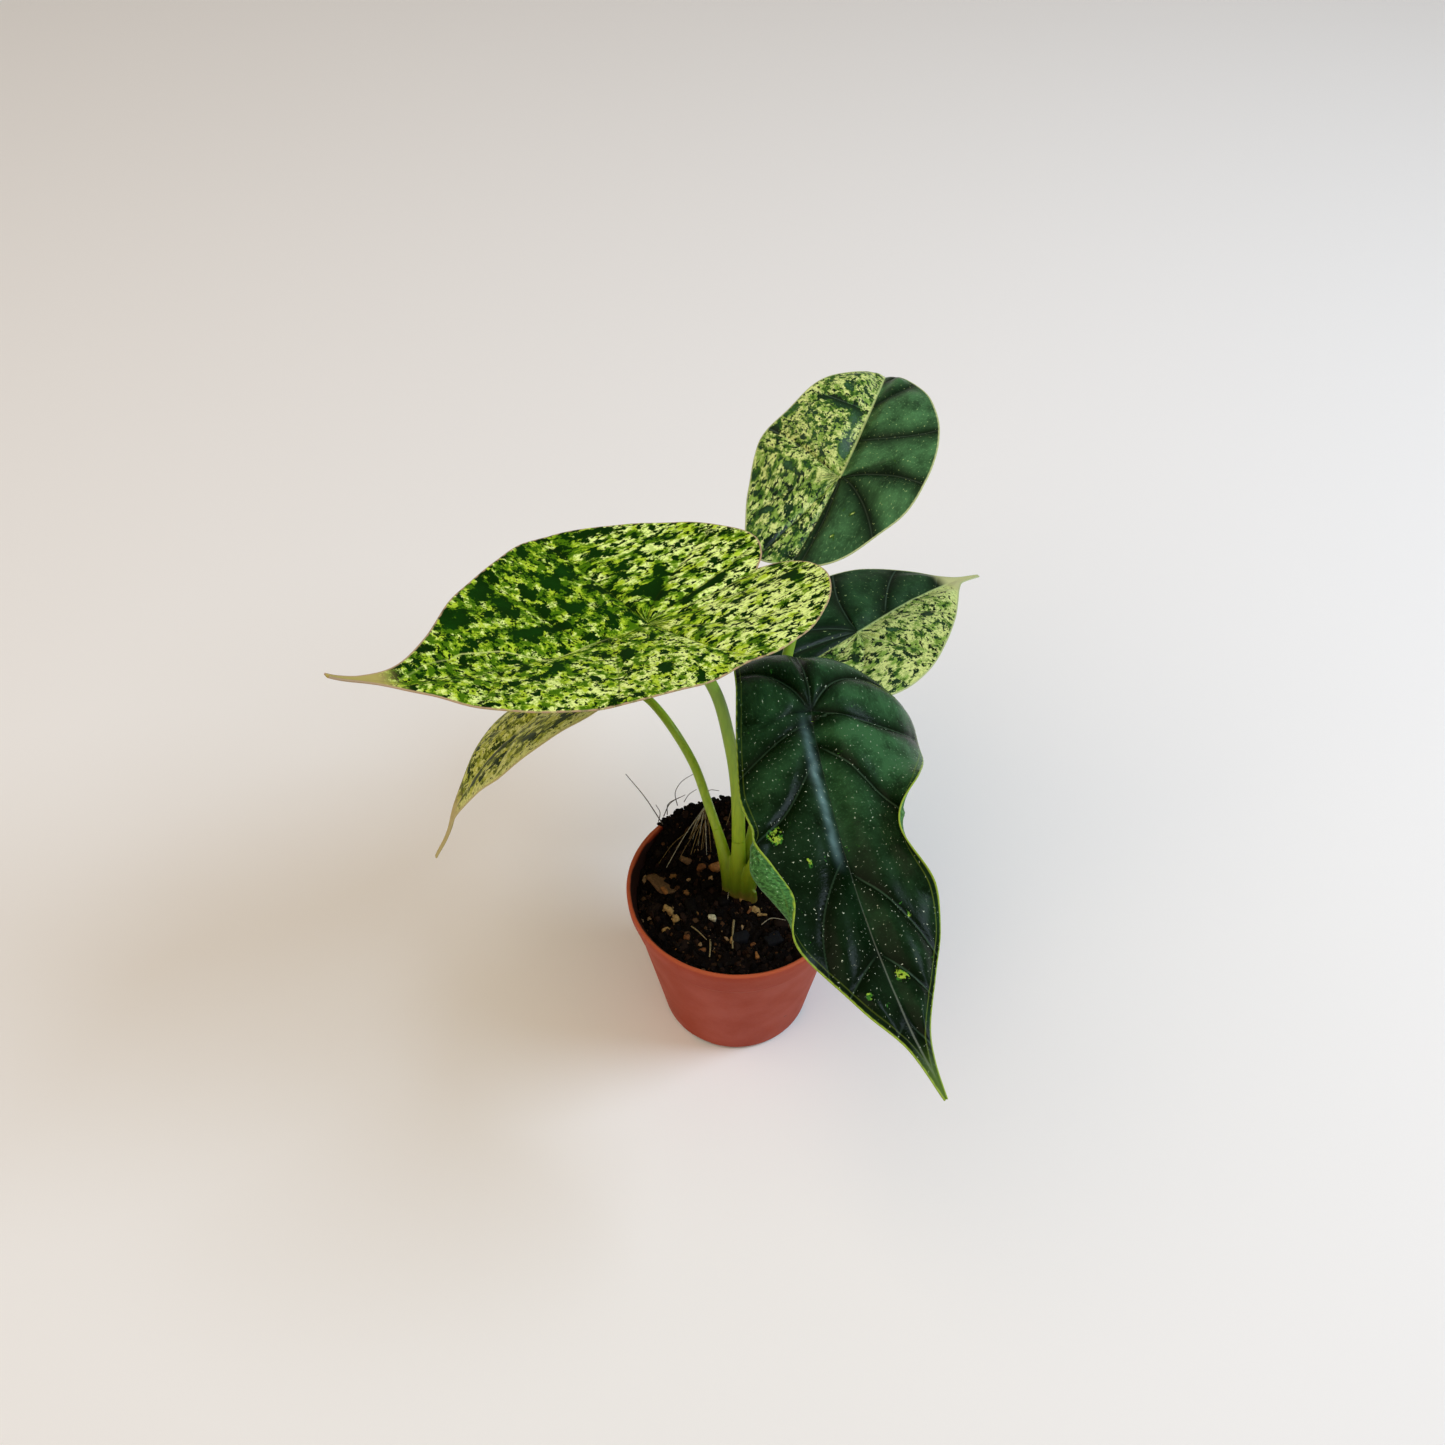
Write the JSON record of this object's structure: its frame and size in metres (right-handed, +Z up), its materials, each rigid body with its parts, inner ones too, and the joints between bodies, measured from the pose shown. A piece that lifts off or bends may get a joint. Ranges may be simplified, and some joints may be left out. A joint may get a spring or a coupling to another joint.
{
  "type": "potted variegated dragon scale alocasia",
  "caption": "Small potted alocasia with quilted, heart-shaped peltate leaves, mottled and dark green, on arching stalks in a terracotta-coloured nursery pot.",
  "frame": {"origin": "middle of the pot's flat underside, on the surface that it stands on", "axes": "+Z up along the pot's axis; -Y is the front, towards the side that the picture was taken from; +X to the right of that view"},
  "size_m": [0.1524, 0.21, 0.1699],
  "materials": {
    "pot_plastic": "thin moulded polypropylene, satin, terracotta coloured",
    "potting_mix": "damp peat and bark, rough and crumbly",
    "crown_tissue": "smooth waxy plant skin, yellow-green",
    "stalk_tissue": "smooth waxy plant skin, bright green",
    "leaf_mottled": "quilted satin leaf, lime and cream splashed with green",
    "leaf_half": "quilted leaf, one half dark and glossy, the other pale and flecked",
    "leaf_dark": "quilted glossy dark green leaf with a thin yellow-green rim",
    "leaf_olive": "quilted satin leaf, khaki splashed with dark green"
  },
  "bodies": {
    "root": {"pot": "pot_plastic", "soil": "potting_mix", "crown": "crown_tissue", "stalk_left": "stalk_tissue", "leaf_left": "leaf_mottled", "stalk_top": "stalk_tissue", "leaf_top": "leaf_half", "stalk_right": "stalk_tissue", "leaf_right": "leaf_half", "stalk_front": "stalk_tissue", "leaf_front": "leaf_dark", "stalk_low": "stalk_tissue", "leaf_low": "leaf_olive"}
  },
  "joints": []
}
